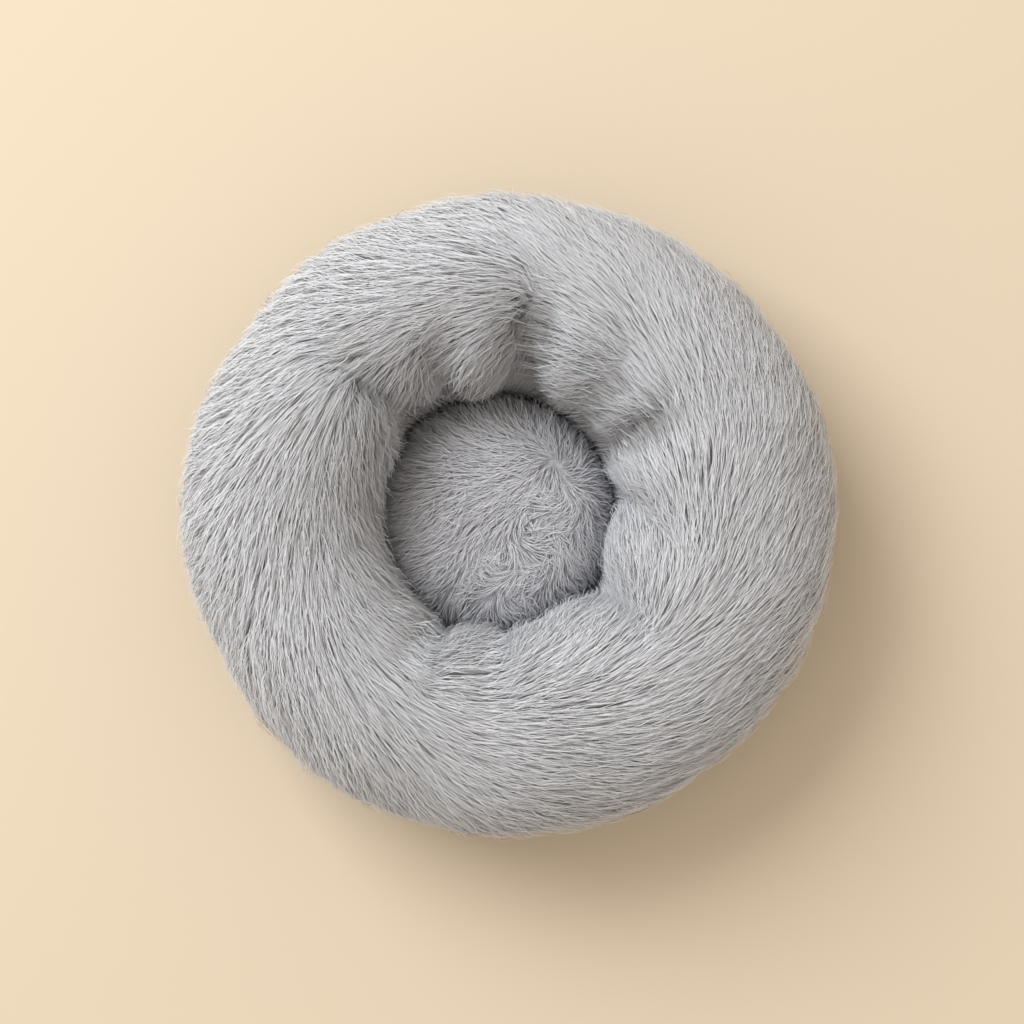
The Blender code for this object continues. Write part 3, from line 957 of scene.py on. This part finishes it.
class PETBED_OT_cushion_pile(bpy.types.Operator):
    """The cushion's ruffled pile, with shadow painted on its left side"""

    bl_idname = "petbed.cushion_pile"
    bl_label = "Cushion Pile"

    def execute(self, context):
        pile, colours = context.scene.pet_bed_pile, context.scene.pet_bed_colours
        surface = add_object("cushion_surface", bpy.data.objects["cushion_body"].data.copy())
        mesh = surface.data
        points, out = positions(mesh), normals(mesh)
        from_middle = points - np.array([NEST_X, 0, 0])
        spread = from_middle[:, :2] - CUSHION_WHORL
        way = np.arctan2(spread[:, 1], spread[:, 0])
        near = np.exp(-((np.hypot(spread[:, 0], spread[:, 1]) / (26 * MM)) ** 2))
        ruffled = fade(from_middle[:, 0] * 0.7 - from_middle[:, 1] * 0.7, -8 * MM, 26 * MM)
        way += np.radians(40 * near + 12 * ripple(points, 60 * MM, 21))
        way += np.radians(75 * ruffled * ripple(points, 34 * MM, 22))
        lie = np.stack([np.cos(way), np.sin(way), np.zeros(len(points))], axis=1)
        distance = np.hypot(from_middle[:, 0], from_middle[:, 1])
        edge = fade(distance, 52 * MM, 80 * MM)
        rim = fade(distance, 62 * MM, 80 * MM)
        outwards = unit(from_middle * np.array([1, 1, 0]))
        lie = unit(lie * (1 - 0.6 * edge[:, None]) + outwards * edge[:, None] * 0.8)
        flow = unit(lie - out * np.sum(lie * out, axis=1, keepdims=True))
        store(mesh, "flow", flow)
        grown = 1 + 0.12 * ripple(points, 40 * MM, 23)
        store(mesh, "length", pile.cushion_length * grown * (1 - 0.25 * edge))
        raised = 0.30 + 0.08 * rim + 0.05 * ripple(points, 20 * MM, 24)
        store(mesh, "lift", pile.cushion_length * raised)
        store(mesh, "cover", fade(points[:, 2], 20 * MM, 26 * MM))
        store(mesh, "clump", np.full(len(points), 0.9))
        # Painted shadow: the pile's tone is darkened towards the left, a little up, where the ring's wall
        # shades the cushion
        painted_shadow = fade(from_middle[:, :2] @ CUSHION_PAINTED_SHADOW_SIDE, 20 * MM, 70 * MM)
        store(mesh, "painted_light", 1 - 0.8 * painted_shadow)
        values = {
            "Density": pile.cushion_density,
            "Thickness": pile.thickness,
            "Lock Spacing": 0.75 * pile.lock_spacing,
            "Gathering": pile.gathering,
            "Disorder": 0.4,
            "Sectors": 2,
            "Seed": pile.seed + 50,
            "Material": hair_material("cushion pile", colours.cushion_dark, colours.cushion_light),
        }
        for sector, side in enumerate(("front", "back")):
            tree = bpy.data.node_groups["pile"]
            piece = run_tree(f"cushion_pile_{side}", surface, tree, values | {"Sector": sector})
            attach(piece, "cushion")
        bpy.data.objects.remove(surface)
        return {"FINISHED"}


def cloth_material(name, colour, yarn=0.9 * MM, round_axis=False, roughness=0.85):
    """A plain weave of yarns, laid out flat or wrapped round Z."""
    made, tree, surface = new_material(name, roughness)
    place_of = tree.add("ShaderNodeTexCoord").outputs["Object"]
    x, y, z = tree.split(place_of)
    if round_axis:
        x, y = tree.math("MULTIPLY", tree.math("ARCTAN2", y, x), ZIP_MIDDLE.x), z
    warp = tree.math("SINE", tree.math("MULTIPLY", x, 2 * math.pi / yarn))
    weft = tree.math("SINE", tree.math("MULTIPLY", y, 2 * math.pi / yarn))
    height = tree.math("ADD", tree.math("MULTIPLY", tree.math("MULTIPLY", warp, weft), 0.5), 0.5)
    fuzz = tree.add("ShaderNodeTexNoise", {"Vector": place_of, "Scale": 700.0, "Detail": 2.0}).outputs[0]
    worn = tree.add("ShaderNodeTexNoise", {"Vector": place_of, "Scale": 24.0, "Detail": 3.0}).outputs[0]
    shade = tree.math("ADD", tree.math("MULTIPLY", height, 0.55), tree.math("MULTIPLY", fuzz, 0.4))
    shade = tree.math("ADD", shade, tree.math("MULTIPLY", tree.math("SUBTRACT", worn, 0.5), 0.5))
    ramp = tree.add("ShaderNodeValToRGB", {"Fac": shade})
    ramp.color_ramp.elements[0].color = (*(c * 0.55 for c in colour), 1)
    ramp.color_ramp.elements[1].color = (*(min(1, c * 1.5) for c in colour), 1)
    tree.tree.links.new(ramp.outputs[0], surface.inputs["Base Color"])
    bump = tree.add("ShaderNodeBump", {"Height": height, "Strength": 0.5, "Distance": 0.3 * yarn})
    tree.tree.links.new(bump.outputs[0], surface.inputs["Normal"])
    tree.layout()
    return made


def hard_material(name, colour, roughness, metallic, grain):
    """Cast metal or moulded nylon: a fine grain in its height, with a worn, uneven polish."""
    made, tree, surface = new_material(name, roughness, metallic)
    place_of = tree.add("ShaderNodeTexCoord").outputs["Object"]
    fine = tree.add("ShaderNodeTexNoise", {"Vector": place_of, "Scale": grain, "Detail": 3.0}).outputs[0]
    patches = {"Vector": place_of, "Scale": grain / 12, "Detail": 2.0}
    broad = tree.add("ShaderNodeTexNoise", patches).outputs[0]
    ramp = tree.add("ShaderNodeValToRGB", {"Fac": broad})
    ramp.color_ramp.elements[0].color = (*(c * 0.78 for c in colour), 1)
    ramp.color_ramp.elements[1].color = (*(min(1, c * 1.12) for c in colour), 1)
    tree.tree.links.new(ramp.outputs[0], surface.inputs["Base Color"])
    polish = tree.math("ADD", roughness - 0.12, tree.math("MULTIPLY", fine, 0.24))
    tree.tree.links.new(polish, surface.inputs["Roughness"])
    bump = tree.add("ShaderNodeBump", {"Height": fine, "Strength": 0.25, "Distance": 0.05 * MM})
    tree.tree.links.new(bump.outputs[0], surface.inputs["Normal"])
    tree.layout()
    return made


# Rows of small things: teeth, stitches and grip dots


def bead_tree():
    """A small rounded bead on each point of a row that stores along, its long way, and out, its way up."""
    tree = GeometryTree(
        "beads",
        {
            "Size": ("NodeSocketVector", (1 * MM, 1 * MM, 1 * MM)),
            "Segments": ("NodeSocketInt", 8),
            "Rings": ("NodeSocketInt", 4),
            "Material": ("NodeSocketMaterial", None),
        },
    )
    given = tree.given
    bead = tree.add(
        "GeometryNodeMeshUVSphere", {"Segments": given["Segments"], "Rings": given["Rings"], "Radius": 0.5}
    ).outputs["Mesh"]
    turn = tree.add(
        "FunctionNodeAxesToRotation",
        {
            "Primary Axis": tree.named("out", "FLOAT_VECTOR"),
            "Secondary Axis": tree.named("along", "FLOAT_VECTOR"),
        },
        primary_axis="Z",
        secondary_axis="X",
    ).outputs[0]
    beads = tree.add(
        "GeometryNodeInstanceOnPoints",
        {"Points": given["Geometry"], "Instance": bead, "Rotation": turn, "Scale": given["Size"]},
    ).outputs[0]
    beads = tree.add("GeometryNodeRealizeInstances", {"Geometry": beads}).outputs[0]
    beads = tree.add("GeometryNodeSetShadeSmooth", {"Geometry": beads}).outputs[0]
    for name in ("along", "out"):
        beads = tree.add("GeometryNodeRemoveAttribute", {"Geometry": beads, "Name": name}).outputs[0]
    return tree.finish(beads, given["Material"])


def add_beads(name, spots, along, out, size, material, body, slot, segments=8, rings=4):
    """The finished row as one piece on its body."""
    mesh = bpy.data.meshes.new(name + "_row")
    mesh.from_pydata(spots.tolist(), [], [])
    store(mesh, "along", along)
    store(mesh, "out", out)
    row = add_object(name + "_row", mesh)
    tree = bpy.data.node_groups.get("beads") or bead_tree()
    values = {"Size": size, "Segments": segments, "Rings": rings, "Material": material}
    made = run_tree(name, row, tree, values)
    bpy.data.objects.remove(row)
    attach(made, body)
    return made


def band_row(up, out, first, last, spacing):
    """Points along the zip's cone between two directions, with their ways along and out."""
    middle = ZIP_MIDDLE + BAND_UP * up + BAND_OUT * out
    turns = np.radians(np.arange(first, last, math.degrees(spacing / middle.x)))
    cosine, sine, level = np.cos(turns), np.sin(turns), np.ones(len(turns))
    spots = np.stack([middle.x * cosine, middle.x * sine, middle.y * level], axis=1)
    onwards = np.stack([-sine, cosine, 0 * level], axis=1)
    outwards = np.stack([BAND_OUT.x * cosine, BAND_OUT.x * sine, BAND_OUT.y * level], axis=1)
    return spots, onwards, outwards


def swept(name, line, first, last, step, closed):
    """An open strip or a closed hoop: line's (r, z) points swept round Z between two directions."""
    count = round((last - first) / step)
    turns = np.radians(first + np.arange(count + (not closed)) * (last - first) / count)
    radii, heights = np.array(line).T
    across, aside = np.outer(np.cos(turns), radii), np.outer(np.sin(turns), radii)
    points = np.stack([across, aside, np.tile(heights, (len(turns), 1))], axis=-1)
    faces, wide = [], len(line)
    for i in range(count):
        for j in range(wide - 1):
            k = (i + 1) % len(turns)
            faces.append((i * wide + j, k * wide + j, k * wide + j + 1, i * wide + j + 1))
    mesh = bpy.data.meshes.new(name)
    mesh.from_pydata(points.reshape(-1, 3).tolist(), [], faces)
    return add_object(name, mesh)


def thicken(obj, thickness):
    wall = obj.modifiers.new("wall", "SOLIDIFY")
    wall.thickness = thickness
    wall.offset = 0
    apply_modifiers(obj)
    obj.data.shade_smooth()


class PETBED_OT_underside(bpy.types.Operator):
    """The woven underside with its welted seam and its rubber grip dots"""

    bl_idname = "petbed.underside"
    bl_label = "Underside"

    def execute(self, context):
        colours = context.scene.pet_bed_colours
        cloth = cloth_material("base cloth", colours.base_cloth)
        seam = ZIP_MIDDLE - BAND_UP * SEAM_DROP
        radii, heights = section(np.arange(-52, -91, -2.0), 0.6 * MM, 1 * MM)
        keep = heights < seam.y
        outside = [tuple(seam), *zip(radii[keep], heights[keep])]
        outside += [(r * MM, 1 * MM) for r in range(150, 0, -15)]
        base = swept("base_cloth", outside, 0, 360, CLOTH_STEP, True)
        turn_outwards(base.data, 30 * MM)
        points = positions(base.data)
        turns = np.arctan2(points[:, 1], points[:, 0])
        gathers = np.sin(84 * turns + 2 * ripple(points, 90 * MM, 31)) * 0.5 * MM
        share = fade(points[:, 2], 4 * MM, 15 * MM) * (1 + 0.5 * ripple(points, 60 * MM, 32))
        outwards = np.stack([np.cos(turns), np.sin(turns), 0 * turns], axis=1)
        place(base.data, points + outwards * (gathers * share)[:, None])
        thicken(base, 1.2 * MM)
        base.data.materials.append(cloth)
        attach(base, "ring")
        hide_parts("base_panel")

        # A corded welt covers the lower seam, with a row of stitches under it
        welt = seam + BAND_OUT * 0.6 * MM
        around = np.radians(np.arange(0, 361, 45))
        line = [(welt.x + WELT_RADIUS * math.cos(a), welt.y + WELT_RADIUS * math.sin(a)) for a in around]
        hoop = swept("base_welt", line, 0, 360, CLOTH_STEP, True)
        turn_outwards(hoop.data, weld=0.01 * MM)
        hoop.data.shade_smooth()
        hoop.data.materials.append(cloth_material("welt cloth", colours.base_cloth, 0.7 * MM, True))
        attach(hoop, "ring")
        thread = cloth_material("base thread", tuple(c * 2.2 for c in colours.base_cloth), 0.3 * MM)
        row = band_row(-SEAM_DROP - 3.2 * MM, 0.2 * MM, 0, 360, 3.6 * MM)
        size = (2.4 * MM, 0.5 * MM, 0.5 * MM)
        add_beads("base_stitches", *row, size, thread, "ring", "base_cloth", 6, 4)

        # Grip dots in a triangular pattern
        spots = []
        for i in range(-18, 19):
            for j in range(-20, 21):
                x, y = (i + 0.5 * (j % 2)) * GRIP_PITCH, j * GRIP_PITCH * math.sqrt(0.75)
                if math.hypot(x, y) < GRIP_REACH:
                    spots.append((x, y, 0.5 * MM))
        spots = np.array(spots)
        ones, none = np.ones(len(spots)), np.zeros(len(spots))
        along, down = np.stack([ones, none, none], axis=1), np.stack([none, none, -ones], axis=1)
        rubber = hard_material("grip rubber", (0.03, 0.03, 0.032), 0.7, 0.0, 900.0)
        size = (3.4 * MM, 3.4 * MM, 1 * MM)
        add_beads("grip_dots", spots, along, down, size, rubber, "ring", "base_cloth", 8, 4)
        return {"FINISHED"}


class PETBED_OT_zip(bpy.types.Operator):
    """The zip's teeth, the stitches of its tapes and the finishes of its tapes, slider, pull and stops"""

    bl_idname = "petbed.zip"
    bl_label = "Zip"

    def execute(self, context):
        colours = context.scene.pet_bed_colours
        tape = cloth_material("zip tape", colours.zip_tape, 0.6 * MM, True)
        metal = hard_material("zip metal", colours.zip_metal, 0.34, 1.0, 2400.0)
        for name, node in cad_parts.items():
            if name.startswith("zip_tape"):
                finish = tape
            elif name.startswith(("zip_bottom_stop", "slider_body", "pull_tab")):
                finish = metal
            else:
                continue
            for slot in node.material_slots:
                slot.material = finish
        nylon = hard_material("zip nylon", colours.zip_nylon, 0.42, 0.0, 1800.0)
        thread = cloth_material("zip thread", tuple(1.3 * c for c in colours.zip_tape), 0.3 * MM, True)
        for name, way in (("upper", 1), ("lower", -1)):
            start = -ZIP_HALF_SPAN + 0.4 + (0.18 if way < 0 else 0)
            row = band_row(way * 1.35 * MM, 1.2 * MM, start, ZIP_HALF_SPAN - 0.4, TOOTH_PITCH)
            size = (1.15 * MM, 3.1 * MM, 1.5 * MM)
            teeth = add_beads(f"zip_teeth_{name}", *row, size, nylon, "ring", "zip_nylon", 8, 5)
            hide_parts(f"zip_coil_{name}")
            row = band_row(way * 6.0 * MM, 0.42 * MM, 0.3 - ZIP_HALF_SPAN, ZIP_HALF_SPAN - 0.3, 3 * MM)
            size = (2.1 * MM, 0.45 * MM, 0.4 * MM)
            add_beads(f"zip_stitches_{name}", *row, size, thread, "ring", "zip_tape", 6, 4)
        return {"FINISHED"}


class PETBED_OT_label(bpy.types.Operator):
    """The blank satin care label in the lower seam"""

    bl_idname = "petbed.label"
    bl_label = "Care Label"

    def execute(self, context):
        span = math.degrees(LABEL_WIDTH / ZIP_MIDDLE.x)
        line = []
        for share in np.linspace(0, 1, 9):
            curl = 1.4 + 1.6 * math.sin(share * 2.6)
            down = BAND_UP * (7 * MM + LABEL_DROP * share)
            line.append(tuple(ZIP_MIDDLE - down + BAND_OUT * curl * MM))
        label = swept("care_tag", line, LABEL_ANGLE - span / 2, LABEL_ANGLE + span / 2, span / 16, False)
        points = positions(label.data)
        out = unit(points * np.array([1, 1, 0]))
        turns = np.degrees(np.arctan2(points[:, 1], points[:, 0])) % 360 - LABEL_ANGLE
        low = fade(points[:, 2], 19 * MM, 8 * MM)
        place(label.data, points + out * (0.5 * MM * np.sin(np.radians(turns * 70)) * low)[:, None])
        thicken(label, 0.4 * MM)
        satin = cloth_material("label satin", context.scene.pet_bed_colours.label, 0.35 * MM, True, 0.45)
        label.data.materials.append(satin)
        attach(label, "ring")
        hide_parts("care_label")
        row = band_row(-LABEL_DROP - 5.6 * MM, 3.0 * MM, LABEL_ANGLE - 3, LABEL_ANGLE + 3, 1.8 * MM)
        size = (1.2 * MM, 0.3 * MM, 0.3 * MM)
        hem = add_beads("care_tag_hem", *row, size, satin, "ring", "label_satin", 6, 4)
        return {"FINISHED"}


# Stage


def light(name, power, spot, size):
    """A square soft light that faces the bed."""
    lamp = bpy.data.lights.new(name, "AREA")
    lamp.energy = power
    lamp.color = (0.95, 0.98, 1.0)
    lamp.size = size
    made = bpy.data.objects.new(name, lamp)
    bpy.context.scene.collection.objects.link(made)
    made.location = spot
    made.rotation_euler = (BED_MIDDLE - spot).to_track_quat("-Z", "Y").to_euler()


class PETBED_OT_stage(bpy.types.Operator):
    """A pale floor, a large soft light and a camera straight above"""

    bl_idname = "petbed.stage"
    bl_label = "Stage"

    def execute(self, context):
        stage, colours = context.scene.pet_bed_stage, context.scene.pet_bed_colours
        scene = context.scene
        scene.view_settings.view_transform = "Standard"
        bpy.ops.mesh.primitive_plane_add(size=12, location=(0, 0, 0))
        floor = context.object
        floor.name = "floor"
        material, _, surface = new_material("floor", 0.9)
        surface.inputs["Base Color"].default_value = (*colours.floor, 1)
        surface.inputs["Specular IOR Level"].default_value = 0.1
        floor.data.materials.append(material)
        light("key", stage.key_power, KEY_SPOT, KEY_SIZE)
        world = bpy.data.worlds.new("studio")
        scene.world = world
        world.use_nodes = True
        background = world.node_tree.nodes["Background"]
        background.inputs["Color"].default_value = (1, 0.89, 0.77, 1)
        background.inputs["Strength"].default_value = stage.sky
        lens = bpy.data.cameras.new("camera")
        camera = bpy.data.objects.new("camera", lens)
        scene.collection.objects.link(camera)
        camera.location = (2 * MM, 2 * MM, stage.camera_height)
        lens.angle = 2 * math.atan(stage.view_width / 2 / (stage.camera_height - WAIST_HEIGHT))
        scene.camera = camera
        return {"FINISHED"}


class PETBED_PT_panel(bpy.types.Panel):
    """The settings, and a button for each operator"""

    bl_idname = "PETBED_PT_panel"
    bl_label = "Pet Bed"
    bl_space_type = "VIEW_3D"
    bl_region_type = "UI"
    bl_category = "Pet Bed"

    def draw(self, context):
        for name in GROUPS:
            group = getattr(context.scene, name)
            box = self.layout.box()
            for setting in group.__annotations__:
                box.prop(group, setting)
        for operator in OPERATORS:
            self.layout.operator(operator.bl_idname)


GROUPS = {"pet_bed_pile": PetBedPile, "pet_bed_colours": PetBedColours, "pet_bed_stage": PetBedStage}
OPERATORS = (
    PETBED_OT_stage,
    PETBED_OT_underside,
    PETBED_OT_zip,
    PETBED_OT_label,
    PETBED_OT_ring_body,
    PETBED_OT_ring_pile,
    PETBED_OT_cushion_body,
    PETBED_OT_cushion_pile,
)


def register():
    for cls in (*GROUPS.values(), *OPERATORS, PETBED_PT_panel):
        bpy.utils.register_class(cls)
    for name, group in GROUPS.items():
        setattr(bpy.types.Scene, name, bpy.props.PointerProperty(type=group))


def unregister():
    for name in GROUPS:
        delattr(bpy.types.Scene, name)
    for cls in reversed((*GROUPS.values(), *OPERATORS, PETBED_PT_panel)):
        bpy.utils.unregister_class(cls)


def main():
    register()
    bpy.ops.petbed.stage()
    bpy.ops.petbed.underside()
    bpy.ops.petbed.zip()
    bpy.ops.petbed.label()
    bpy.ops.petbed.ring_body()
    bpy.ops.petbed.ring_pile()
    bpy.ops.petbed.cushion_body()
    bpy.ops.petbed.cushion_pile()


if __name__ == "__main__":
    main()
